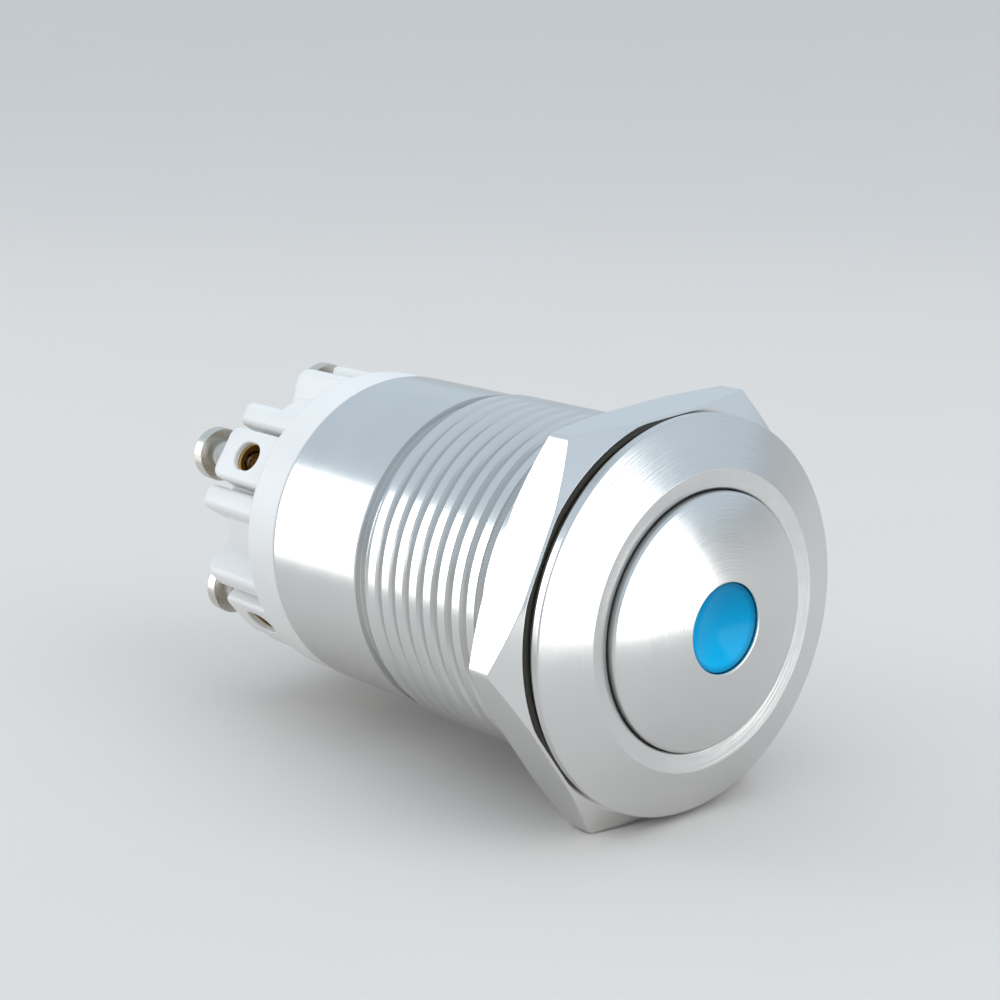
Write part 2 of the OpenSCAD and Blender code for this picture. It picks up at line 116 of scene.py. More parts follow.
def share(name, description, value):
    """A part of a whole, from 0 to 1."""
    return number(name, description, value, min=0, max=1, subtype="FACTOR")


def colour(name, description, value):
    """A colour of one finish."""
    return bpy.props.FloatVectorProperty(
        name=name, description=description, default=value, size=3, min=0, max=1, subtype="COLOR"
    )


def group(kind, name, description):
    """A set of values that belong together."""
    return bpy.props.PointerProperty(type=kind, name=name, description=description)


def box_mm(node):
    """Lowest and highest corner of a solid, in millimetres."""
    return [[value / MM for value in corner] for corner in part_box(node)]


HOUSING_LOW, HOUSING_HIGH = box_mm("housing")
NUT_LOW, NUT_HIGH = box_mm("mounting_nut")
_, SEAL_HIGH = box_mm("panel_seal")
BASE_LOW, BASE_HIGH = box_mm("base")
CAP_LOW, _ = box_mm("button")
LENS_LOW, LENS_HIGH = box_mm("lens")


class HeadSizes(bpy.types.PropertyGroup):
    bezel_radius: length("Bezel radius", "Outer radius of the bezel", HOUSING_HIGH[0])
    rim_height: length("Rim height", "Straight height of the bezel's rim", 0.45)
    ring_depth: depth("Ring depth", "Front face of the ring round the button", HOUSING_LOW[1])
    ring_radius: length("Ring radius", "Outer radius of the ring round the button", 6.75)
    ring_fall: length("Ring fall", "How far the ring falls towards the button", 0.14)
    guide_radius: length("Guide radius", "Radius of the hole that guides the button", 5.85)
    guide_length: length("Guide length", "Back end of the button's guide", 1.3)
    cap_radius: length("Button radius", "Radius of the button", 5.8)
    dome_edge: depth("Dome edge", "Depth of the dome's edge", -1.55)
    dome_top: depth("Dome top", "Depth of the dome at the lens", CAP_LOW[1])
    lens_radius: length("Lens radius", "Radius of the lens", 2.0)
    lens_dish: length("Lens dish", "Depth of the dish in the lens", 0.55)
    edge: length("Edge rounding", "Rounding of the turned edges", 0.08)


class BarrelSizes(bpy.types.PropertyGroup):
    thread_radius: length("Thread radius", "Radius over the panel thread", 8.0)
    thread_depth: length("Thread depth", "Depth of the thread's groove", 0.4)
    crest_share: share("Crest share", "Share of the pitch that the flat crest takes", 0.5)
    floor_share: share("Floor share", "Share of the pitch that the groove's floor takes", 0.1)
    pitch: length("Pitch", "Advance of the thread in one turn", 1.0)
    thread_end: length("Thread end", "Where the thread ends behind the panel face", 13.1)
    run_out: length("Run-out", "Length over which the thread fades at its ends", 0.55)
    relief_radius: length("Groove radius", "Radius of the groove behind the thread", 7.55)
    relief_end: length("Groove end", "Where the plain sleeve begins", 13.5)
    sleeve_radius: length("Sleeve radius", "Radius of the plain sleeve", 7.9)
    barrel_end: length("Barrel end", "Back end of the barrel", HOUSING_HIGH[1])
    bore_radius: length("Bore radius", "Radius of the barrel's bore", 6.85)


class NutSizes(bpy.types.PropertyGroup):
    flat_radius: length("Flat radius", "Distance of a flat from the axis", 9.0)
    front: length("Front face", "Depth of the nut's front face", NUT_LOW[1])
    back: length("Back face", "Depth of the nut's back face", NUT_HIGH[1])
    bore: length("Bore radius", "Radius of the nut's bore", 8.05)
    chamfer_radius: length("Chamfer radius", "Radius where the corner chamfer begins", 9.08)
    corner: length("Corner rounding", "Rounding of the six upright edges", 0.3)
    edge_break: length("Edge break", "Small break along the flats", 0.09)
    turn: angle("Turn", "Turn of the nut about the axis", 4)
    seal_inner: length("Seal inner radius", "Inner radius of the flat seal", 8.02)
    seal_outer: length("Seal outer radius", "Outer radius of the flat seal", SEAL_HIGH[0])
    seal_height: length("Seal height", "Thickness of the flat seal", SEAL_HIGH[1])


class TerminalSizes(bpy.types.PropertyGroup):
    count: whole("Terminals", "Terminals round the axis", 5)
    first_angle: angle("First angle", "Angle of the first terminal", 75)
    collar_front: length("Collar front", "Front face of the collar", 20.12)
    collar_back: length("Collar back", "Back face of the collar", 22.62)
    collar_radius: length("Collar radius", "Radius of the collar", 7.85)
    plug_front: length("Plug front", "Front face of the plug in the barrel", 11.35)
    plug_radius: length("Plug radius", "Radius of the plug in the barrel", 6.83)
    post_front: length("Post front", "Front end of the lamp's post", BASE_LOW[1])
    post_radius: length("Post radius", "Radius of the lamp's post", 2.1)
    lead_bore: length("Lead bore", "Radius of the bore for the lamp's wires", 1.3)
    hub_back: length("Hub back", "Back face of the hub", 26.62)
    hub_radius: length("Hub radius", "Radius of the hub", 6.3)
    tower_in: length("Tower inside", "Distance of a tower's inner face", 3.5)
    tower_out: length("Tower face", "Distance of a tower's outer face", 7.5)
    tower_width: length("Tower width", "Width of a tower", 2.8)
    tower_back: length("Tower back", "Back end of a tower", 26.82)
    fin_in: length("Fin inside", "Distance of a fin's inner edge", 4.3)
    fin_out: length("Fin outside", "Distance of a fin's outer edge", 7.09)
    fin_offset: length("Fin offset", "Distance of a fin from the tower's middle", 2.325)
    fin_thickness: length("Fin thickness", "Thickness of a fin", 1.25)
    fin_back: length("Fin back", "Back end of a fin", BASE_HIGH[1])
    fin_corner: length("Fin corner", "Radius of a fin's outer corner", 0.9)
    hole_radius: length("Wire hole", "Radius of a wire hole", 0.75)
    hole_stretch: length("Wire hole stretch", "Half of what the opening is longer than wide", 0.2)
    hole_depth: length("Wire hole depth", "Depth of a wire hole's middle", 24.52)
    clamp_in: length("Clamp inside", "Distance of a clamp's inner face", 5.0)
    pocket_out: length("Pocket outside", "Distance of the outer wall of a clamp's pocket", 7.22)
    pocket_width: length("Pocket width", "Width of a clamp's pocket", 2.24)
    pocket_floor: length("Pocket floor", "Height of a pocket's floor above the collar", 0.38)
    strip_in: length("Strip slot", "Distance of the slot for a contact's strip", 4.63)
    strip_width: length("Strip width", "Width of the slot for a contact's strip", 1.24)
    lead_width: length("Lead width", "Width of the slot for a lamp's wire", 0.5)
    lead_front: length("Lead front", "Front end of the slot for a lamp's wire", 23.12)
    screw_axis: length("Screw distance", "Distance of a screw from the axis", 6.15)
    screw_radius: length("Screw radius", "Radius over a screw's thread", 0.8)
    screw_pitch: length("Screw pitch", "Advance of a screw's thread in one turn", 0.35)
    screw_tip: length("Screw tip", "Front end of a screw", 25.32)
    head_seat: length("Head seat", "Depth of the underside of a screw's head", 28.42)
    head_radius: length("Head radius", "Radius of a screw's head", 1.375)
    head_side: length("Head side", "Straight side of a screw's head", 0.65)
    head_dome: length("Head dome", "Rise of a screw's head above its side", 0.65)
    slot_width: length("Slot width", "Width of a screw's slot", 0.5)
    slot_depth: length("Slot depth", "Depth of a screw's slot", 0.6)


class SpringSizes(bpy.types.PropertyGroup):
    coil_radius: length("Coil radius", "Radius of the return spring at the middle of its wire", 5.8)
    wire_radius: length("Wire radius", "Radius of the return spring's wire", 0.25)
    turns: whole("Turns", "Turns of the return spring", 5)
    travel: length("Travel", "How far the button goes in", 1.5)


class Finishes(bpy.types.PropertyGroup):
    steel: colour("Steel", "Turned steel of the body and the button", (0.70, 0.70, 0.69))
    nut_steel: colour("Nut steel", "Plated steel of the nut", (0.76, 0.76, 0.75))
    rubber: colour("Rubber", "Rubber of the seals", (0.050, 0.043, 0.030))
    lens: colour("Lens", "Blue of the lens", (0.0, 0.44, 0.88))
    plastic: colour("Plastic", "White moulding of the base", (0.80, 0.785, 0.765))
    brass: colour("Brass", "Brass of the clamps and contacts", (0.72, 0.50, 0.20))
    nickel: colour("Nickel", "Nickel plating of the screws", (0.66, 0.63, 0.58))
    spring_steel: colour("Spring steel", "Wire of the springs", (0.55, 0.55, 0.56))
    tinned_wire: colour("Tinned wire", "Wires of the lamp", (0.70, 0.70, 0.68))
    dark_plastic: colour("Dark plastic", "Plastic of the plunger", (0.045, 0.047, 0.05))
    copper: colour("Copper", "Copper of the moving contact", (0.78, 0.42, 0.28))


class StageLook(bpy.types.PropertyGroup):
    floor: colour("Floor", "Pale floor and backdrop", (0.70, 0.655, 0.62))
    sky: colour("Room", "Cool light of the room", (0.66, 0.77, 0.87))
    sky_strength: number("Room strength", "Strength of the room's light", 1.0, min=0)
    window: power("Window", "Power of the window on the left", 0.3)
    side: power("Side card", "Power of the low card on the left", 0.0010)
    front: power("Front card", "Power of the slanted card in front of the head", 0.0120)
    fill: power("Front light", "Power of the soft light in front of the head", 0.8)
    top: power("Top light", "Power of the soft light overhead", 0.5)


# Sockets and finishes


class Value:
    """A number that varies over a surface or a shape; arithmetic on it adds Math nodes."""

    def __init__(self, builder, socket):
        self.builder = builder
        self.socket = socket

    def __add__(self, other):
        return self.builder.math("ADD", self, other)

    def __radd__(self, other):
        return self.builder.math("ADD", other, self)

    def __sub__(self, other):
        return self.builder.math("SUBTRACT", self, other)

    def __rsub__(self, other):
        return self.builder.math("SUBTRACT", other, self)

    def __mul__(self, other):
        return self.builder.math("MULTIPLY", self, other)

    def __rmul__(self, other):
        return self.builder.math("MULTIPLY", other, self)

    def __truediv__(self, other):
        return self.builder.math("DIVIDE", self, other)

    def __rtruediv__(self, other):
        return self.builder.math("DIVIDE", other, self)


class NodeBuilder:
    """Adds nodes to one tree, a shader's or a shape's."""

    def __init__(self, tree):
        self.tree = tree

    def node(self, kind, settings=None, values=None):
        """Adds a node: its settings first, then a value or a link for each socket named."""
        node = self.tree.nodes.new(kind)
        for key, value in (settings or {}).items():
            if key == "stops":
                self.set_stops(node.color_ramp, value)
            else:
                setattr(node, key, value)
        for key, value in (values or {}).items():
            if isinstance(value, Value):
                self.tree.links.new(value.socket, node.inputs[key])
            else:
                node.inputs[key].default_value = value
        return node

    def out(self, kind, settings=None, values=None, output=0):
        """One output of a new node."""
        return Value(self, self.node(kind, settings, values).outputs[output])

    def math(self, operation, *values):
        """One Math node on values that vary."""
        return self.out("ShaderNodeMath", {"operation": operation}, dict(enumerate(values)))

    @staticmethod
    def set_stops(ramp, stops):
        """Gives a ramp its stops, each a place and a grey level."""
        while len(ramp.elements) < len(stops):
            ramp.elements.new(0.5)
        for element, (place, level) in zip(ramp.elements, stops):
            element.position = place
            element.color = (level, level, level, 1)

    def ramp(self, value, stops):
        """A value spread over the levels of a ramp."""
        return self.out("ShaderNodeValToRGB", {"stops": stops}, {0: value})

    def limit(self, value, low=0.0, high=1.0):
        """A value kept between two limits."""
        return self.out("ShaderNodeClamp", None, {0: value, 1: low, 2: high})

    def round_point(self, radius, turn, place):
        """A point at a radius and an angle round the axis, at a depth."""
        across, up = (radius * self.math(side, turn) for side in ("COSINE", "SINE"))
        return self.out("ShaderNodeCombineXYZ", None, {0: across, 1: place, 2: up})


class Finish(NodeBuilder):
    """One procedural finish on Object coordinates."""

    def __init__(self, name):
        self.material = bpy.data.materials.new(name)
        self.material.use_nodes = True
        super().__init__(self.material.node_tree)
        self.tree.nodes.clear()
        place = self.node("ShaderNodeTexCoord")
        self.place = Value(self, place.outputs["Object"])
        split = self.node("ShaderNodeSeparateXYZ", None, {0: self.place})
        self.x, self.y, self.z = (Value(self, socket) for socket in split.outputs)

    def noise(self, scale, detail=3.0, roughness=0.5):
        """Cloudy pattern between 0 and 1; scale is in clouds per metre."""
        values = {"Vector": self.place, "Scale": scale, "Detail": detail, "Roughness": roughness}
        return self.out("ShaderNodeTexNoise", None, values)

    def round_axis(self):
        """Distance from the part's axis, and the cosine and sine of the angle round it."""
        least = 1e-6
        radius = self.math("SQRT", self.x * self.x + self.z * self.z) + least
        return radius, self.x / radius, self.z / radius

    def turned_lines(self, lines_per_mm, along, seed):
        """Fine rings that a lathe or a brush leaves round the axis, without a seam."""
        radius, cosine, sine = self.round_axis()
        across = lines_per_mm / MM
        place = self.out(
            "ShaderNodeCombineXYZ", None,
            {0: radius * across + seed, 1: self.y * across, 2: cosine * along},
        )
        return self.out(
            "ShaderNodeTexNoise", {"noise_dimensions": "4D"},
            {"Vector": place, "W": sine * along + seed, "Scale": 1.0, "Detail": 2.0, "Roughness": 0.6},
        )

    def mix(self, factor, first, second):
        """Two colours mixed by a varying factor."""
        settings = {"data_type": "RGBA", "blend_type": "MIX"}
        return self.out("ShaderNodeMix", settings, {0: factor, 6: first, 7: second}, output=2)

    def bump(self, height, distance, strength=1.0):
        """Relief of the given height in metres."""
        values = {"Height": height, "Distance": distance, "Strength": strength}
        return self.out("ShaderNodeBump", None, values)

    def surface(self, **sockets):
        """Ends the finish in a shader whose sockets are named with _ for a blank."""
        values = {key.replace("_", " "): value for key, value in sockets.items()}
        shader = self.out("ShaderNodeBsdfPrincipled", None, values)
        self.node("ShaderNodeOutputMaterial", None, {"Surface": shader})
        return self.material


def opaque(rgb, factor=1.0):
    """A colour, made lighter or darker, with full opacity."""
    return (*(min(1.0, channel * factor) for channel in rgb), 1.0)


def turned_metal(name, rgb, gap_mm, gloss=0.17, seed=0.0):
    """Bright metal with the fine rings of a lathe, brushed on the head, and painted shade that darkens it
    along a narrow gap.
    """
    finish = Finish(name)
    radius, _, _ = finish.round_axis()
    # Painted shade: a thin ring on each side of the gap at gap_mm is darkened towards near black, where
    # shade falls in the gap; the same ring is also made rougher.
    near_gap = finish.math("ABSOLUTE", radius / MM - gap_mm)
    shade_reach_mm, shade_fade_mm, shade_weight = 0.11, 0.05, 0.4
    gap_shade = finish.limit((shade_reach_mm - near_gap) / shade_fade_mm)
    lines_per_mm, along = 14, 1.3
    lines = finish.turned_lines(lines_per_mm, along, seed)
    brush_start_mm, brush_fade_mm = -0.3, 0.15
    brushed = finish.limit((brush_start_mm - finish.y / MM) / brush_fade_mm)
    smudge = finish.noise(420, 4.0)
    wear = finish.ramp(finish.noise(1600, 5.0, 0.6), [(0.45, 0.0), (0.75, 1.0)])
    tone = finish.limit(lines * 0.35 + smudge * 0.5)
    clean = finish.mix(tone, opaque(rgb, 0.93), opaque(rgb, 1.06))
    return finish.surface(
        Base_Color=finish.mix(gap_shade * shade_weight, clean, (0.06, 0.055, 0.05, 1)),
        Metallic=1.0,
        Roughness=gloss + lines * 0.05 + smudge * 0.05 + wear * 0.03 + gap_shade * 0.2,
        Normal=finish.bump(lines * (0.12 + brushed * 0.88), 0.009 * MM),
    )


def milled_metal(name, rgb, gloss=0.18, seed=0.0):
    """Plated, drawn or rolled metal with a soft grain and an uneven tone."""
    finish = Finish(name)
    grain = finish.noise(9000, 3.0, 0.6)
    smudge = finish.noise(350 + seed, 4.0)
    tone = finish.limit(smudge * 0.7 + grain * 0.2)
    return finish.surface(
        Base_Color=finish.mix(tone, opaque(rgb, 0.93), opaque(rgb, 1.05)),
        Metallic=1.0,
        Roughness=gloss + grain * 0.05 + smudge * 0.07,
        Normal=finish.bump(grain, 0.0008 * MM),
    )


def moulded_plastic(name, rgb, gloss=0.34):
    """Moulded plastic with a fine skin and a slight unevenness of tone."""
    finish = Finish(name)
    grain_mm = 0.012
    clouds = finish.noise(260, 3.0)
    skin = finish.noise(5200, 2.0, 0.55)
    return finish.surface(
        Base_Color=finish.mix(clouds, opaque(rgb, 0.955), opaque(rgb, 1.03)),
        Roughness=gloss + clouds * 0.1 + skin * 0.06,
        Normal=finish.bump(skin, grain_mm * MM, 0.35),
        IOR=1.5,
    )


def soft_rubber(name, rgb):
    """Matt rubber with a dusty bloom."""
    finish = Finish(name)
    bloom = finish.noise(900, 5.0, 0.6)
    skin = finish.noise(8000, 2.0)
    return finish.surface(
        Base_Color=finish.mix(bloom, opaque(rgb, 0.7), opaque(rgb, 1.8)),
        Roughness=0.55 + bloom * 0.25,
        Normal=finish.bump(skin, 0.02 * MM, 0.4),
    )


def lens_finish(name, rgb):
    """Coloured lens, deeper in tone towards its rim, with painted shade that darkens it towards the top, and
    a glossy skin.
    """
    finish = Finish(name)
    radius, _, _ = finish.round_axis()
    rim_start_mm, rim_width_mm = 1.72, 0.3
    rim = finish.limit((radius / MM - rim_start_mm) / rim_width_mm)
    clouds = finish.noise(500, 2.0)
    # Painted shade: the blue is painted darker towards the top of the lens, with a lighter copy towards its
    # bottom, as light falls into the dish.
    shade_span_mm = 3.2
    height = finish.limit(finish.z / MM / shade_span_mm + 0.5)
    lit_tone = opaque((rgb[0], rgb[1] * 1.2, rgb[2] * 1.08))
    core = finish.mix(clouds * 0.3 + height * 0.7, lit_tone, opaque(rgb, 0.56))
    return finish.surface(
        Base_Color=finish.mix(rim * 0.85, core, opaque(rgb, 0.28)),
        Roughness=0.13 + clouds * 0.06,
        IOR=1.42,
        Specular_IOR_Level=0.12,
        Transmission_Weight=0.1,
        Normal=finish.bump(clouds, 0.004 * MM, 0.5),
    )


def clear_resin(name):
    """Water-clear lamp body."""
    finish = Finish(name)
    clouds = finish.noise(700, 2.0)
    return finish.surface(
        Base_Color=finish.mix(clouds, (0.86, 0.90, 0.95, 1), (0.95, 0.97, 1.0, 1)),
        Roughness=0.05 + clouds * 0.1,
        IOR=1.53,
        Transmission_Weight=0.8,
    )


def banded_coat(name, low, high):
    """Tan coat of the resistor with four colour bands along its length."""
    finish = Finish(name)
    clouds = finish.noise(900, 3.0)
    coat = finish.mix(clouds, (0.50, 0.34, 0.19, 1), (0.62, 0.45, 0.27, 1))
    bands = [(0.22, (0.55, 0.20, 0.02, 1)), (0.38, (0.60, 0.20, 0.02, 1))]
    bands += [(0.54, (0.10, 0.04, 0.02, 1)), (0.78, (0.55, 0.38, 0.10, 1))]
    along = (finish.y - low) / (high - low)
    for middle, paint in bands:
        inside = finish.math("LESS_THAN", finish.math("ABSOLUTE", along - middle), 0.05)
        coat = finish.mix(inside, coat, paint)
    return finish.surface(Base_Color=coat, Roughness=0.32 + clouds * 0.15)


# Meshes


def softened(corners, steps=4):
    """Profile from corners of radius, depth and rounding, with true arcs at the rounded ones."""
    most_of_side = 0.42
    lead_share, longest_lead = 0.25, 0.02 * MM
    points = []
    total = len(corners)
    for index, (radius, place, rounding) in enumerate(corners):
        here = Vector((radius, place))
        if rounding == 0:
            points.append(here)
            continue
        back = Vector(corners[(index - 1) % total][:2]) - here
        ahead = Vector(corners[(index + 1) % total][:2]) - here
        reach = most_of_side * min(back.length, ahead.length)
        back.normalize()
        ahead.normalize()
        half = back.angle(ahead) / 2
        run = min(rounding / math.tan(half), reach)
        size = run * math.tan(half)
        middle = here + (back + ahead).normalized() * (size / math.sin(half))
        start = here + back * run - middle
        end = here + ahead * run - middle
        lead = min(lead_share * run, longest_lead)
        points.append(here + back * (run + lead))
        points += [middle + start.slerp(end, step / steps) * size for step in range(steps + 1)]
        points.append(here + ahead * (run + lead))
    return points


def arc(start, end, radius, centre_depth, steps):
    """Profile points on a ball about the axis between two radii, both ends left out."""
    sign = 1 if centre_depth < start[1] else -1
    points = []
    for step in range(1, steps):
        r = start[0] + (end[0] - start[0]) * step / steps
        points.append((r, centre_depth + sign * math.sqrt(radius * radius - r * r), 0))
    return points


def heading(turn):
    """Unit vector at an angle."""
    return Vector((math.cos(turn), math.sin(turn)))


def turned_columns(profile, count):
    """A profile set round the axis, one copy for each column."""
    columns = []
    for step in range(count):
        turn = TURN * step / count
        columns.append([(r * math.cos(turn), y, r * math.sin(turn)) for r, y in profile])
    return columns


def shell(columns, closed_profile=True, mesh=None):
    """Skin over columns that stand in a ring, added to a mesh where one is given."""
    if mesh is None:
        mesh = bmesh.new()
    rows = [[mesh.verts.new(point) for point in column] for column in columns]
    height = len(rows[0])
    for index, row in enumerate(rows):
        following = rows[(index + 1) % len(rows)]
        for low in range(height if closed_profile else height - 1):
            high = (low + 1) % height
            mesh.faces.new((row[low], row[high], following[high], following[low]))
    return mesh


def cleaned(mesh):
    """Merges what lies on the same spot, drops faces without area and turns all faces outwards."""
    bmesh.ops.remove_doubles(mesh, verts=mesh.verts, dist=MERGE)
    bmesh.ops.dissolve_degenerate(mesh, dist=MERGE / 2, edges=mesh.edges)
    bmesh.ops.recalc_face_normals(mesh, faces=mesh.faces)
    return mesh


def plain_data(mesh, name):
    """Plain mesh data from an edited mesh, which it frees."""
    data = bpy.data.meshes.new(name)
    mesh.to_mesh(data)
    mesh.free()
    return data


def to_data(mesh, name):
    """Plain mesh data of a shape that has to be closed."""
    open_edges = sum(1 for edge in cleaned(mesh).edges if len(edge.link_faces) != 2)
    if open_edges:
        raise RuntimeError(f"{name} has {open_edges} open edges")
    return plain_data(mesh, name)


def add_data(mesh, data):
    """Adds plain mesh data to an edited mesh."""
    mesh.from_mesh(data)
    bpy.data.meshes.remove(data)


def block(low, high):
    """Plain cutter between two corners."""
    mesh = bmesh.new()
    low, high = Vector(low), Vector(high)
    place = Matrix.Translation((low + high) / 2) @ Matrix.Diagonal((*(high - low), 1))
    bmesh.ops.create_cube(mesh, size=1.0, matrix=place)
    return to_data(mesh, "Block")


def new_object(name, data):
    """An object at the origin in the scene."""
    made = bpy.data.objects.new(name, data)
    bpy.context.scene.collection.objects.link(made)
    return made


def finish_piece(name, data, material, body, node):
    """Makes a finished piece with its finish, on the body it rides on, and hides the solid it stands for."""
    data.materials.clear()
    data.materials.append(material)
    data.shade_smooth()
    data.set_sharp_from_angle(angle=SHARP)
    piece = new_object(name, data)
    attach(piece, body)
    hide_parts(node)
    return piece


def dress_node(node, material):
    """Gives a solid that stays its finish."""
    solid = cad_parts[node]
    if not solid.material_slots:
        solid.data.materials.append(material)
    for place in solid.material_slots:
        place.material = material


def turned_data(name, corners, count):
    """Closed ring turned from a profile of rounded corners."""
    return to_data(shell(turned_columns(softened(corners), count)), name)


# Shapes that follow a rule


def new_tree(name, sizes, counts):
    """Shape tree that takes a shape, named sizes and counts, and a material; with its builder and inputs."""
    tree = bpy.data.node_groups.new(name, "GeometryNodeTree")
    inputs = [("Geometry", "Geometry"), ("Material", "Material")]
    inputs += [(label, "Float") for label in sizes] + [(label, "Int") for label in counts]
    for label, kind in inputs:
        tree.interface.new_socket(label, in_out="INPUT", socket_type="NodeSocket" + kind)
    tree.interface.new_socket("Geometry", in_out="OUTPUT", socket_type="NodeSocketGeometry")
    builder = NodeBuilder(tree)
    entry = builder.node("NodeGroupInput")
    values = {socket.name: Value(builder, socket) for socket in entry.outputs if socket.name}
    return tree, builder, values


def end_tree(builder, geometry, material):
    """Realizes what the tree made and gives it its material."""
    real = builder.out("GeometryNodeRealizeInstances", None, {0: geometry})
    dressed = builder.out("GeometryNodeSetMaterial", None, {"Geometry": real, "Material": material})
    builder.node("NodeGroupOutput", None, {0: dressed})


def thread_tree():
    """Helical V thread as an open skin, its rows laid along the helix and its ends cut square."""
    tree, build, given = new_tree(
        "Helical thread",
        (
            "Crest Radius", "Root Radius", "Start Radius", "End Radius", "Pitch", "Start", "End", "Run-out",
            "Crest Share", "Floor Share",
        ),
        ("Rows per Turn", "Columns"),
    )
    turns = build.math("CEIL", (given["End"] - given["Start"]) / given["Pitch"]) + 1
    rows = turns * given["Rows per Turn"]
    grid = build.out(
        "GeometryNodeMeshGrid", None,
        {"Size X": 1.0, "Size Y": 1.0, "Vertices X": rows + 1, "Vertices Y": given["Columns"] + 1},
    )
    spot = build.node("ShaderNodeSeparateXYZ", None, {0: build.out("GeometryNodeInputPosition")})
    helix = (Value(build, spot.outputs[0]) + 0.5) * turns
    around = Value(build, spot.outputs[1]) + 0.5
    free_place = given["Start"] + given["Pitch"] * (helix - around)
    place = build.limit(free_place, given["Start"], given["End"])
    # A small step keeps the rows at whole turns on one side of the fraction
    step = 0.0001
    flank = build.math("ABSOLUTE", build.math("FRACT", helix + step) * 2 - 1)
    slope = 1 - given["Floor Share"] - given["Crest Share"]
    ridge = 1 - build.limit((flank - given["Crest Share"]) / slope)
    full = given["Root Radius"] + (given["Crest Radius"] - given["Root Radius"]) * ridge
    near_start = build.limit(1 - (place - given["Start"]) / given["Run-out"])
    near_end = build.limit(1 - (given["End"] - place) / given["Run-out"])
    faded = full + (given["Start Radius"] - full) * near_start
    radius = faded + (given["End Radius"] - faded) * near_end
    moved = build.round_point(radius, around * TURN, place)
    skin = build.out("GeometryNodeSetPosition", None, {"Geometry": grid, "Position": moved})
    end_tree(build, skin, given["Material"])
    return tree


def ring_tree():
    """Copies of one shape set evenly round the axis; one copy alone where Which is not 0."""
    tree, build, given = new_tree("Ring of terminals", ("First Angle",), ("Count", "Which"))
    points = build.out("GeometryNodePoints", None, {"Count": given["Count"]})
    index = build.out("GeometryNodeInputIndex")
    turn = given["First Angle"] + index * TURN / given["Count"]
    chosen = build.math("COMPARE", index + 1, given["Which"], 0.1)
    every = build.math("LESS_THAN", given["Which"], 0.5)
    rotation = build.out("ShaderNodeCombineXYZ", None, {0: 0.0, 1: 0 - turn, 2: 0.0})
    copies = build.out(
        "GeometryNodeInstanceOnPoints", None,
        {
            "Points": points, "Selection": build.math("MAXIMUM", chosen, every),
            "Instance": given["Geometry"], "Rotation": rotation,
        },
    )
    end_tree(build, copies, given["Material"])
    return tree


def coil_tree():
    """Round wire wound about the axis between two depths."""
    sizes = ("Coil Radius", "Wire Radius", "Front", "Back")
    tree, build, given = new_tree("Wound coil", sizes, ("Turns", "Steps per Turn", "Sides"))
    line = build.out(
        "GeometryNodeCurveSpiral", None,
        {"Resolution": given["Steps per Turn"], "Rotations": given["Turns"], "Height": 1.0},
    )
    along = build.out("GeometryNodeSplineParameter")
    rise = given["Back"] - given["Front"] - given["Wire Radius"] * 2
    place = given["Front"] + given["Wire Radius"] + rise * along
    wound = build.round_point(given["Coil Radius"], along * given["Turns"] * TURN, place)
    path = build.out("GeometryNodeSetPosition", None, {"Geometry": line, "Position": wound})
    section = build.out(
        "GeometryNodeCurvePrimitiveCircle", None,
        {"Resolution": given["Sides"], "Radius": given["Wire Radius"]},
    )
    wire = build.out(
        "GeometryNodeCurveToMesh", None, {"Curve": path, "Profile Curve": section, "Fill Caps": True}
    )
    end_tree(build, wire, given["Material"])
    return tree


def grown(tree, settings, data=None):
    """Plain mesh that a tree makes, from a given shape where it takes one."""
    seed = new_object("Seed", data or bpy.data.meshes.new("Seed"))
    modifier = seed.modifiers.new("Shape", "NODES")
    modifier.node_group = tree
    inputs = (item for item in tree.interface.items_tree if item.in_out == "INPUT")
    sockets = {item.name: item.identifier for item in inputs}
    for label, value in settings.items():
        modifier[sockets[label]] = value
    graph = bpy.context.evaluated_depsgraph_get()
    made = bpy.data.meshes.new_from_object(seed.evaluated_get(graph), depsgraph=graph)
    seed.modifiers.remove(modifier)
    bpy.data.objects.remove(seed)
    return made


def threaded(name, profiles, columns, settings):
    """Turned shape with a helical thread between the ends of its open profiles."""
    mesh = bmesh.new()
    for profile in profiles:
        shell(turned_columns(profile, columns), closed_profile=False, mesh=mesh)
    add_data(mesh, grown(thread_tree(), {**settings, "Columns": columns}))
    return to_data(mesh, name)


def cut(data, *steps):
    """Unites or cuts a shape with others, step by step, and gives the plain result."""
    work = new_object("Work", data)
    others = []
    for operation, other in steps:
        tool = new_object("Tool", other)
        others.append(tool)
        modifier = work.modifiers.new(operation, "BOOLEAN")
        modifier.operation = operation
        modifier.solver = "MANIFOLD"
        modifier.object = tool
    graph = bpy.context.evaluated_depsgraph_get()
    made = bpy.data.meshes.new_from_object(work.evaluated_get(graph), depsgraph=graph)
    work.modifiers.clear()
    for spare in (work, *others):
        bpy.data.objects.remove(spare)
    mesh = bmesh.new()
    add_data(mesh, made)
    return to_data(mesh, "Cut")


def rounded_outline(low, high, radii, inset, steps=6):
    """Rectangle between two corners, drawn inwards by an inset, with its own radius at each corner."""
    (left, bottom), (right, top) = low, high
    corners = [
        (left, bottom, 1, 1, math.pi), (right, bottom, -1, 1, 1.5 * math.pi),
        (right, top, -1, -1, 0), (left, top, 1, -1, 0.5 * math.pi),
    ]
    points = []
    for (x, y, to_x, to_y, first), radius in zip(corners, radii):
        for step in range(steps + 1):
            turn = first + 0.5 * math.pi * step / steps
            reach = max(radius - inset, 0.0)
            inner = max(radius, inset)
            across, up = reach * math.cos(turn), reach * math.sin(turn)
            points.append((x + to_x * inner + across, y + to_y * inner + up))
    return points


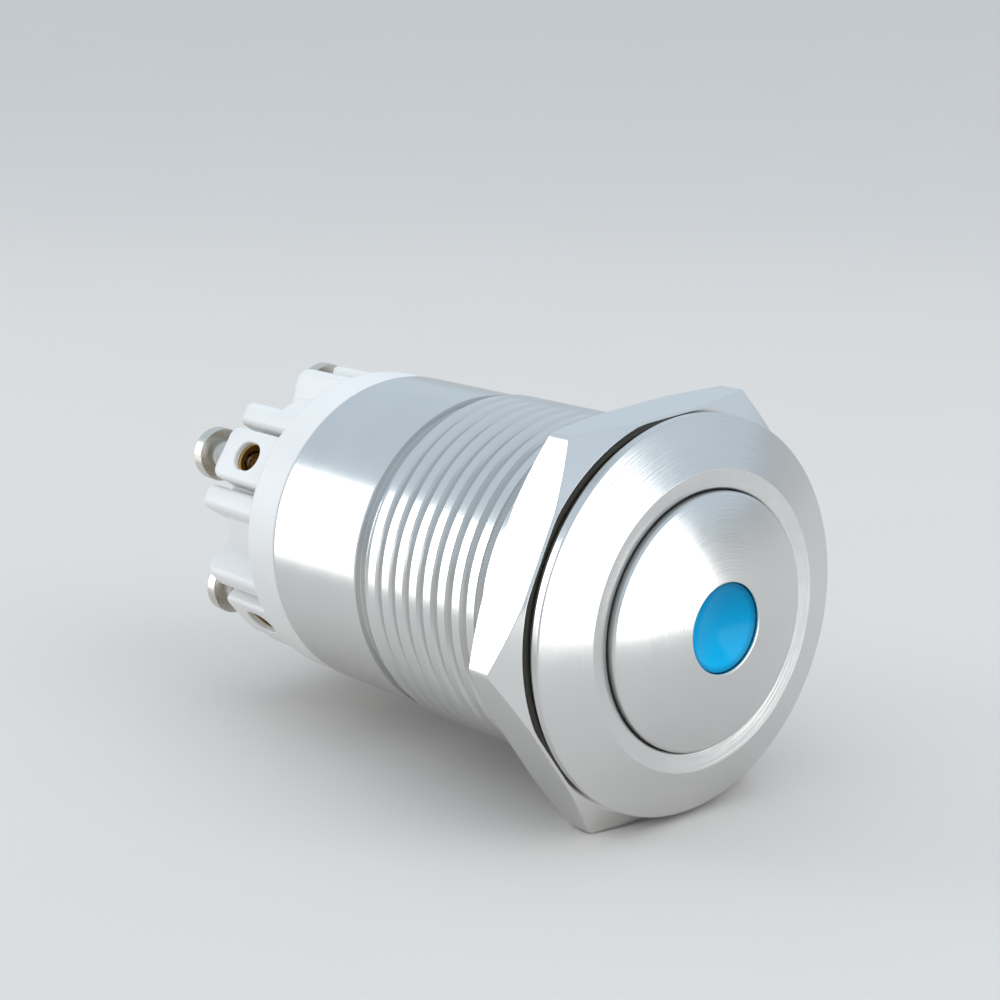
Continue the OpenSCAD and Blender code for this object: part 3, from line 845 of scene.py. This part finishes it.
def soft_slab(low, high, radii, front, back, edge, place, steps=4):
    """Slab with a rounded outline and softly rounded edges on both faces; place sets its three axes."""
    rings = []
    for step in range(steps + 1):
        turn = 0.5 * math.pi * step / steps
        rings.append((front + edge - edge * math.cos(turn), edge - edge * math.sin(turn)))
    rings += [(front + back - level, inset) for level, inset in reversed(rings)]
    mesh = bmesh.new()
    loops = []
    for level, inset in rings:
        outline = rounded_outline(low, high, radii, inset)
        loops.append([mesh.verts.new(place(u, v, level)) for u, v in outline])
    for lower, upper in zip(loops, loops[1:]):
        for index in range(len(lower)):
            following = (index + 1) % len(lower)
            mesh.faces.new((lower[index], lower[following], upper[following], upper[index]))
    mesh.faces.new(loops[0])
    mesh.faces.new(loops[-1])
    return to_data(mesh, "Slab")


# Pieces


def settings_of(context):
    """The sizes, finishes and stage values of the scene."""
    return context.scene.push_button


class PushButtonSettings(bpy.types.PropertyGroup):
    head: group(HeadSizes, "Head", "Sizes of the head")
    barrel: group(BarrelSizes, "Barrel", "Sizes of the barrel")
    nut: group(NutSizes, "Nut", "Sizes of the nut and its seal")
    terminals: group(TerminalSizes, "Terminals", "Sizes of the base")
    spring: group(SpringSizes, "Spring", "Sizes of the return spring")
    finishes: group(Finishes, "Finishes", "Colours of the finishes")
    stage: group(StageLook, "Stage", "Floor and light")


class PUSHBUTTON_OT_body(bpy.types.Operator):
    """Turn the body: bezel, threaded barrel and plain sleeve in one piece"""

    bl_idname = "pushbutton.body"
    bl_label = "Turned body"

    columns = 180
    rows_per_turn = 20
    thread_start = 0.05 * MM

    def execute(self, context):
        given = settings_of(context)
        head, barrel = given.head, given.barrel
        edge = head.edge
        corners = [
            (barrel.relief_radius, barrel.thread_end, 0),
            (barrel.relief_radius, barrel.relief_end, 0.03 * MM),
            (barrel.sleeve_radius, barrel.relief_end, 0.06 * MM),
            (barrel.sleeve_radius, barrel.barrel_end, 0.12 * MM),
            (barrel.bore_radius, barrel.barrel_end, edge),
            (barrel.bore_radius, head.guide_length, 0.05 * MM),
            (head.guide_radius, head.guide_length, edge),
            (head.guide_radius, head.ring_depth + head.ring_fall, 0.1 * MM),
            (head.ring_radius, head.ring_depth, edge),
            (head.bezel_radius, -head.rim_height, edge),
            (head.bezel_radius, 0, 0.1 * MM),
            (barrel.thread_radius, 0, 0.03 * MM),
            (barrel.thread_radius, self.thread_start, 0),
        ]
        settings = {
            "Crest Radius": barrel.thread_radius,
            "Root Radius": barrel.thread_radius - barrel.thread_depth,
            "Start Radius": barrel.thread_radius, "End Radius": barrel.relief_radius,
            "Pitch": barrel.pitch, "Start": self.thread_start, "End": barrel.thread_end,
            "Run-out": barrel.run_out, "Crest Share": barrel.crest_share,
            "Floor Share": barrel.floor_share, "Rows per Turn": self.rows_per_turn,
        }
        data = threaded("Body", [softened(corners)], self.columns, settings)
        steel = turned_metal("Turned steel", given.finishes.steel, head.guide_radius / MM)
        finish_piece("turned_body", data, steel, "body", "housing")
        return {"FINISHED"}


class PUSHBUTTON_OT_nut(bpy.types.Operator):
    """Make the hexagon nut and the flat seal in front of it"""

    bl_idname = "pushbutton.nut"
    bl_label = "Nut and flat seal"

    sides = 6
    flat_steps = 20
    corner_steps = 6
    chamfer_slope = math.radians(30)
    lead_in = 0.35 * MM
    soft = 0.05 * MM
    seal_soft = 0.09 * MM
    seal_columns = 160

    def outline(self, nut):
        """Points of the hexagon with rounded corners, in its own plane."""
        half = math.pi / self.sides
        inner = (nut.flat_radius - nut.corner) / math.cos(half)
        points = []
        for side in range(self.sides):
            corner = nut.turn + TURN * side / self.sides
            for step in range(self.corner_steps + 1):
                turn = corner - half + 2 * half * step / self.corner_steps
                points.append(heading(corner) * inner + heading(turn) * nut.corner)
            start = points[-1]
            end = heading(corner + 2 * half) * inner + heading(corner + half) * nut.corner
            points += [start.lerp(end, step / self.flat_steps) for step in range(1, self.flat_steps)]
        return points

    def execute(self, context):
        given = settings_of(context)
        nut = given.nut
        columns = []
        for point in self.outline(nut):
            reach = point.length
            direction = point / reach
            drop = max((reach - nut.chamfer_radius) * math.tan(self.chamfer_slope), nut.edge_break)
            shoulder = min(nut.chamfer_radius, reach - nut.edge_break)
            half = [(nut.bore, self.lead_in), (nut.bore + self.lead_in, 0), (shoulder, 0), (reach, drop)]
            corners = [(r, nut.front + y, self.soft) for r, y in half]
            corners += [(r, nut.back - y, self.soft) for r, y in reversed(half)]
            columns.append([(r * direction.x, y, r * direction.y) for r, y in softened(corners, 2)])
        data = to_data(shell(columns), "Nut")
        plated = milled_metal("Plated nut steel", given.finishes.nut_steel)
        finish_piece("hexagon_nut", data, plated, "nut", "mounting_nut")

        rubber = soft_rubber("Black rubber", given.finishes.rubber)
        soft = self.seal_soft
        ring = turned_data("Flat seal", [
            (nut.seal_inner, 0, soft), (nut.seal_outer, 0, soft),
            (nut.seal_outer, nut.seal_height, soft), (nut.seal_inner, nut.seal_height, soft),
        ], self.seal_columns)
        finish_piece("flat_seal", ring, rubber, "body", "panel_seal")
        dress_node("button_seal", rubber)
        return {"FINISHED"}


class PUSHBUTTON_OT_cap(bpy.types.Operator):
    """Turn the domed button and its dished lens"""

    bl_idname = "pushbutton.cap"
    bl_label = "Button and lens"

    seat_gap = 0.02 * MM
    lip_break = 0.12 * MM
    fine = 0.04 * MM
    columns = 168
    dome_steps = 20
    lens_columns = 128
    dish_steps = 14

    def execute(self, context):
        given = settings_of(context)
        head, fine = given.head, self.fine
        hole = head.lens_radius + self.seat_gap
        edge_radius = head.cap_radius - self.lip_break
        rise = head.dome_edge - head.dome_top
        offset = (edge_radius**2 - hole**2 - rise**2) / (2 * rise)
        ball = math.hypot(edge_radius, offset)
        centre = head.dome_edge + offset
        groove = 0.48 * MM
        groove_radius = 4.92 * MM
        shoulder_radius = 6.5 * MM
        shoulder_front = 1.35 * MM
        cap_back = 2.35 * MM
        cavity = 4.27 * MM
        lens_back = -0.38 * MM
        flange = 2.95 * MM
        lens_seat = -1.0 * MM
        tail_radius = 1.6 * MM
        tail_back = LENS_HIGH[1] * MM
        rim = (hole, head.dome_top)
        lip = (edge_radius, head.dome_edge)
        corners = [(*rim, 0.07 * MM)]
        corners += arc(rim, lip, ball, centre, self.dome_steps)
        corners += [
            (*lip, 0.1 * MM),
            (head.cap_radius, head.dome_edge + self.lip_break, 0.05 * MM),
            (head.cap_radius, -groove, fine),
            (groove_radius, -groove, fine),
            (groove_radius, groove, fine),
            (head.cap_radius, groove, fine),
            (head.cap_radius, shoulder_front, fine),
            (shoulder_radius, shoulder_front, 0.08 * MM),
            (shoulder_radius, cap_back, 0.08 * MM),
            (cavity, cap_back, 0.08 * MM),
            (cavity, lens_back, fine),
            (flange + self.seat_gap, lens_back, fine),
            (flange + self.seat_gap, lens_seat, fine),
            (hole, lens_seat, fine),
        ]
        steel = turned_metal(
            "Turned button steel", given.finishes.steel, head.guide_radius / MM, gloss=0.15, seed=7.0
        )
        data = turned_data("Button", corners, self.columns)
        finish_piece("domed_button", data, steel, "button", "button")

        lens_rim = (head.lens_radius, LENS_LOW[1] * MM)
        dish = (head.lens_radius**2 + head.lens_dish**2) / (2 * head.lens_dish)
        dish_centre = lens_rim[1] + head.lens_dish - dish
        bottom = (0.0, lens_rim[1] + head.lens_dish)
        profile = [(*bottom, 0)]
        profile += arc(bottom, lens_rim, dish, dish_centre, self.dish_steps)
        profile += [
            (*lens_rim, 0.09 * MM),
            (head.lens_radius, lens_seat + self.seat_gap, fine),
            (flange, lens_seat + self.seat_gap, 0.05 * MM),
            (flange, lens_back, 0.05 * MM),
            (tail_radius, lens_back, 0.05 * MM),
            (tail_radius, tail_back, 0.1 * MM),
            (0.0, tail_back, 0),
        ]
        columns = turned_columns(softened(profile), self.lens_columns)
        lens = to_data(shell(columns, closed_profile=False), "Lens")
        blue = lens_finish("Blue lens", given.finishes.lens)
        finish_piece("dished_lens", lens, blue, "button", "lens")
        return {"FINISHED"}


class PUSHBUTTON_OT_base(bpy.types.Operator):
    """Mould the white base: plug, post, collar, and a ring of towers and barrier fins"""

    bl_idname = "pushbutton.base"
    bl_label = "White base"

    columns = 144
    root = 0.5 * MM
    over = 2.0 * MM
    seat_gap = 0.02 * MM
    tower_corner = 0.6 * MM
    tower_edge = 0.25 * MM
    fin_inner_corner = 0.5 * MM
    fin_edge = 0.4 * MM
    strip_over = 0.4 * MM
    lead_in = 0.6 * MM
    countersink = 0.2 * MM
    countersink_depth = 0.05 * MM
    past_face = 0.15 * MM
    hole_sides = 48
    contact_terminals = (1, 3, 5)
    lamp_terminals = (2, 4)

    def forms(self, size):
        """One tower between its two fins, drawn outwards along X."""
        bottom = size.collar_back - self.root
        half = size.tower_width / 2
        tower = soft_slab(
            (-half, bottom), (half, size.tower_back), (0, 0, self.tower_corner, self.tower_corner),
            size.tower_in, size.tower_out, self.tower_edge, lambda u, v, w: (w, v, u),
        )
        fins = []
        radii = (0, 0, size.fin_corner, self.fin_inner_corner)
        for middle in (-size.fin_offset, size.fin_offset):
            fins.append(soft_slab(
                (size.fin_in, bottom), (size.fin_out, size.fin_back), radii,
                middle - size.fin_thickness / 2, middle + size.fin_thickness / 2, self.fin_edge,
                lambda u, v, w: (u, v, w),
            ))
        return tower, fins

    def slot(self, size, start, end, width, front):
        """Cutter from a distance to another, open at the back."""
        return block((start, front, -width / 2), (end, size.tower_back + self.over, width / 2))

    def wire_hole(self, size):
        """Cutter for the oval opening of a wire, with a small countersink, drawn along X."""
        face = size.tower_out + self.past_face
        profile = (
            (size.clamp_in, 0.0), (size.clamp_in, size.hole_radius),
            (size.tower_out - self.countersink_depth, size.hole_radius),
            (face, size.hole_radius + self.countersink), (face, 0.0),
        )
        columns = []
        for step in range(self.hole_sides):
            turn = TURN * step / self.hole_sides
            across, aside = math.cos(turn), math.sin(turn)
            stretch = math.copysign(size.hole_stretch, across)
            columns.append([
                (x, size.hole_depth + radius * across + (stretch if radius else 0.0), radius * aside)
                for x, radius in profile
            ])
        return to_data(shell(columns, closed_profile=False), "Hole")

    def execute(self, context):
        given = settings_of(context)
        size = given.terminals
        core = turned_data("Base", [
            (size.lead_bore, size.post_front, 0.08 * MM),
            (size.post_radius, size.post_front, 0.08 * MM),
            (size.post_radius, size.plug_front, 0.1 * MM),
            (size.plug_radius, size.plug_front, 0.1 * MM),
            (size.plug_radius, size.collar_front, 0.05 * MM),
            (size.collar_radius, size.collar_front, 0.12 * MM),
            (size.collar_radius, size.collar_back, 0.4 * MM),
            (size.hub_radius, size.collar_back, 0.15 * MM),
            (size.hub_radius, size.hub_back, 0.2 * MM),
            (size.lead_bore, size.hub_back, 0.1 * MM),
        ], self.columns)
        ring = {"Count": size.count, "First Angle": size.first_angle, "Which": 0}
        tower, fins = self.forms(size)
        pocket_front = size.collar_back + size.pocket_floor
        pocket = self.slot(
            size, size.clamp_in - self.seat_gap, size.pocket_out, size.pocket_width, pocket_front
        )
        strip_front = size.plug_front - self.strip_over
        strip = self.slot(size, size.strip_in, size.clamp_in, size.strip_width, strip_front)
        lead = self.slot(size, self.lead_in, size.clamp_in, size.lead_width, size.lead_front)
        tree = ring_tree()
        steps = [("UNION", grown(tree, ring, form)) for form in (tower, *fins)]
        steps += [("DIFFERENCE", grown(tree, ring, space)) for space in (pocket, self.wire_hole(size))]
        for space, terminals in ((strip, self.contact_terminals), (lead, self.lamp_terminals)):
            for which in terminals:
                steps.append(("DIFFERENCE", grown(tree, {**ring, "Which": which}, space.copy())))
        data = cut(core, *steps)
        white = moulded_plastic("White plastic", given.finishes.plastic)
        finish_piece("white_base", data, white, "body", "base")
        return {"FINISHED"}


class PUSHBUTTON_OT_screws(bpy.types.Operator):
    """Make the terminal screws, each on its own body, and dress the brass clamps and contacts"""

    bl_idname = "pushbutton.screws"
    bl_label = "Terminal screws and clamps"

    columns = 48
    rows_per_turn = 8
    thread_depth = 0.17 * MM
    run_out = 0.2 * MM
    tip_length = 0.2 * MM
    tip_break = 0.05 * MM
    neck = 0.1 * MM
    dome_steps = 10
    slot_reach = 2 * MM

    def screw(self, size):
        """One slotted screw, drawn at its distance along X."""
        root = size.screw_radius - self.thread_depth
        start = size.screw_tip + self.tip_length
        end = size.head_seat - self.neck
        side_end = size.head_seat + size.head_side
        top = side_end + size.head_dome
        ball = (size.head_radius**2 + size.head_dome**2) / (2 * size.head_dome)
        shoulder = (size.head_radius, side_end)
        crown = (0.0, top)
        head = [
            (root, end, 0),
            (root, size.head_seat, 0.03 * MM),
            (size.head_radius, size.head_seat, 0.06 * MM),
            (*shoulder, 0.08 * MM),
        ]
        head += arc(shoulder, crown, ball, top - ball, self.dome_steps)
        head.append((*crown, 0))
        tip = [
            (0.0, size.screw_tip, 0), (root - self.tip_break, size.screw_tip, 0.03 * MM), (root, start, 0)
        ]
        whole_screw = threaded("Screw", [softened(head), softened(tip)], self.columns, {
            "Crest Radius": size.screw_radius, "Root Radius": root, "Start Radius": root, "End Radius": root,
            "Pitch": size.screw_pitch, "Start": start, "End": end, "Run-out": self.run_out,
            "Crest Share": 0.125, "Floor Share": 0.25, "Rows per Turn": self.rows_per_turn,
        })
        reach, half = self.slot_reach, size.slot_width / 2
        low = top - size.slot_depth
        made = cut(whole_screw, ("DIFFERENCE", block((-reach, low, -half), (reach, low + reach, half))))
        made.transform(Matrix.Translation((size.screw_axis, 0, 0)))
        return made

    def execute(self, context):
        given = settings_of(context)
        size = given.terminals
        nickel = milled_metal("Nickel plating", given.finishes.nickel, gloss=0.22, seed=40)
        brass = milled_metal("Bright brass", given.finishes.brass, gloss=0.26, seed=90)
        screw = self.screw(size)
        tree = ring_tree()
        for which in range(1, size.count + 1):
            settings = {
                "Count": size.count, "First Angle": size.first_angle, "Which": which, "Material": nickel
            }
            data = grown(tree, settings, screw.copy())
            data.name = f"Screw {which}"
            name, node = f"slotted_screw_{which}", f"terminal_screw_{which}"
            finish_piece(name, data, nickel, f"screw_{which}", node)
            dress_node(f"terminal_clamp_{which}", brass)
        for node in ("contact_break", "contact_common", "contact_make"):
            dress_node(node, brass)
        return {"FINISHED"}


class PUSHBUTTON_OT_inside(bpy.types.Operator):
    """Wind the return spring and dress the other inner pieces"""

    bl_idname = "pushbutton.inside"
    bl_label = "Inner pieces"

    steps_per_turn = 48
    wire_sides = 16
    resistor_length = 3.2 * MM

    def wind(self, size, material):
        """Return spring wound about the axis between the ends of the solid spring."""
        low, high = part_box("return_spring")
        mesh = bmesh.new()
        add_data(mesh, grown(coil_tree(), {
            "Coil Radius": size.coil_radius, "Wire Radius": size.wire_radius, "Turns": size.turns,
            "Front": low.y, "Back": high.y, "Steps per Turn": self.steps_per_turn,
            "Sides": self.wire_sides, "Material": material,
        }))
        data = to_data(mesh, "Return spring")
        piece = finish_piece("return_coil", data, material, "body", "return_spring")
        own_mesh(piece)

    def execute(self, context):
        given = settings_of(context)
        finishes = given.finishes
        low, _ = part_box("lamp_resistor")
        spring = milled_metal("Spring steel", finishes.spring_steel, gloss=0.25, seed=10)
        self.wind(given.spring, spring)
        tinned = milled_metal("Tinned wire", finishes.tinned_wire, gloss=0.3, seed=60)
        for node, material in (
            ("plunger", moulded_plastic("Dark plastic", finishes.dark_plastic, gloss=0.38)),
            ("contact_spring", spring),
            ("contact_bridge", milled_metal("Bright copper", finishes.copper, gloss=0.24, seed=25)),
            ("lamp", clear_resin("Clear lamp resin")),
            ("lamp_lead_short", tinned),
            ("lamp_lead_long", tinned),
            ("lamp_resistor", banded_coat("Resistor coat", low.y, low.y + self.resistor_length)),
        ):
            dress_node(node, material)
        return {"FINISHED"}


class PUSHBUTTON_OT_stage(bpy.types.Operator):
    """Set the camera, the pale floor with its low backdrop, the room's light and the lamps"""

    bl_idname = "pushbutton.stage"
    bl_label = "Stage"

    image_size = 1000
    focal_px = 1962.1
    middle_px = (562.0, 578.8)
    sensor = 36.0
    view_turn = -42.17
    view_rise = 15.95
    view_distance = 91.4 * MM
    near_end = 2 * MM
    target = (0, 8 * MM, 0)
    floor_gap = 0.02 * MM
    floor_reach = 260 * MM
    floor_sides = 96
    sweep = 900 * MM
    sweep_angle = math.radians(32)
    sweep_steps = 24

    def camera(self, scene):
        """Camera at the photograph's viewing angle."""
        data = bpy.data.cameras.new("Camera")
        data.sensor_width = self.sensor
        data.lens = self.focal_px / self.image_size * self.sensor
        data.shift_x = 0.5 - self.middle_px[0] / self.image_size
        data.shift_y = self.middle_px[1] / self.image_size - 0.5
        data.clip_start = self.near_end
        turn, rise = math.radians(self.view_turn), math.radians(self.view_rise)
        level = math.cos(rise)
        away = Vector((math.sin(turn) * level, -math.cos(turn) * level, math.sin(rise)))
        camera = bpy.data.objects.new("Camera", data)
        camera.location = Vector(self.target) + away * self.view_distance
        camera.rotation_euler = Euler((math.pi / 2 - rise, 0, turn))
        scene.collection.objects.link(camera)
        scene.camera = camera

    def floor(self, look):
        """Pale floor that sweeps up into a low backdrop on all sides."""
        ground = CAD_BOX[0][2] - self.floor_gap
        profile = [(0.0, ground), (self.floor_reach, ground)]
        for step in range(1, self.sweep_steps + 1):
            turn = self.sweep_angle * step / self.sweep_steps
            out, up = self.sweep * math.sin(turn), self.sweep * (1 - math.cos(turn))
            profile.append((self.floor_reach + out, ground + up))
        columns = []
        for step in range(self.floor_sides):
            across, ahead = heading(TURN * step / self.floor_sides)
            columns.append([(r * across, r * ahead, z) for r, z in profile])
        data = plain_data(cleaned(shell(columns, closed_profile=False)), "Floor")
        data.shade_smooth()
        finish = Finish("Pale floor")
        clouds = finish.noise(60, 3.0)
        data.materials.append(finish.surface(
            Base_Color=finish.mix(clouds, opaque(look.floor, 0.985), opaque(look.floor, 1.01)),
            Roughness=0.75 + clouds * 0.1,
            Specular_IOR_Level=0.0,
        ))
        new_object("Floor", data)

    def lamp(self, scene, name, place, size, watts, roll=0.0):
        """Rectangular soft lamp that faces the part, rolled in its own plane and not seen itself."""
        data = bpy.data.lights.new(name, "AREA")
        data.shape = "RECTANGLE"
        data.size, data.size_y = (value * MM for value in size)
        data.energy = watts
        lamp = bpy.data.objects.new(name, data)
        lamp.location = Vector(place) * MM
        facing = (Vector(self.target) - lamp.location).to_track_quat("-Z", "Y")
        lamp.rotation_euler = (facing @ Quaternion((0, 0, 1), roll)).to_euler()
        lamp.visible_camera = False
        scene.collection.objects.link(lamp)
        return lamp

    def world(self, scene, look):
        """Even cool light of the room."""
        world = bpy.data.worlds.new("Room")
        world.use_nodes = True
        builder = NodeBuilder(world.node_tree)
        world.node_tree.nodes.clear()
        light = {"Color": opaque(look.sky), "Strength": look.sky_strength}
        glow = builder.out("ShaderNodeBackground", None, light)
        builder.node("ShaderNodeOutputWorld", None, {"Surface": glow})
        scene.world = world

    def execute(self, context):
        scene = context.scene
        look = settings_of(context).stage
        self.camera(scene)
        self.floor(look)
        self.world(scene, look)
        self.lamp(scene, "Window", (-215, 290, 76), (130, 170), look.window)
        side = self.lamp(scene, "Side card", (-35.2, 48.6, -5.2), (28, 8.3), look.side)
        front = self.lamp(scene, "Front card", (4.9, -42, -3.2), (45, 41), look.front, math.radians(30))
        for card in (side, front):
            card.visible_diffuse = False
        fill = self.lamp(scene, "Front light", (80, -400, 300), (400, 400), look.fill)
        top = self.lamp(scene, "Top light", (-60, 60, 400), (600, 600), look.top)
        for light in (fill, top):
            light.visible_glossy = False
        scene.view_settings.view_transform = "Standard"
        return {"FINISHED"}


OPERATORS = (
    PUSHBUTTON_OT_stage,
    PUSHBUTTON_OT_body,
    PUSHBUTTON_OT_nut,
    PUSHBUTTON_OT_cap,
    PUSHBUTTON_OT_base,
    PUSHBUTTON_OT_screws,
    PUSHBUTTON_OT_inside,
)


class PUSHBUTTON_PT_panel(bpy.types.Panel):
    """Lists the pieces of the push button"""

    bl_idname = "PUSHBUTTON_PT_panel"
    bl_label = "Push button"
    bl_space_type = "VIEW_3D"
    bl_region_type = "UI"
    bl_category = "Push button"

    def draw(self, context):
        for operator in OPERATORS:
            self.layout.operator(operator.bl_idname)


CLASSES = (
    HeadSizes, BarrelSizes, NutSizes, TerminalSizes, SpringSizes, Finishes, StageLook, PushButtonSettings,
    *OPERATORS, PUSHBUTTON_PT_panel,
)


def register():
    """Makes the settings, the operators and the panel known."""
    for kind in CLASSES:
        bpy.utils.register_class(kind)
    bpy.types.Scene.push_button = group(PushButtonSettings, "Push button", "Sizes, finishes and stage")


def unregister():
    """Takes them away again."""
    del bpy.types.Scene.push_button
    for kind in reversed(CLASSES):
        bpy.utils.unregister_class(kind)


def main():
    """Builds the stage and every piece."""
    register()
    bpy.ops.pushbutton.stage()
    bpy.ops.pushbutton.body()
    bpy.ops.pushbutton.nut()
    bpy.ops.pushbutton.cap()
    bpy.ops.pushbutton.base()
    bpy.ops.pushbutton.screws()
    bpy.ops.pushbutton.inside()


if __name__ == "__main__":
    main()
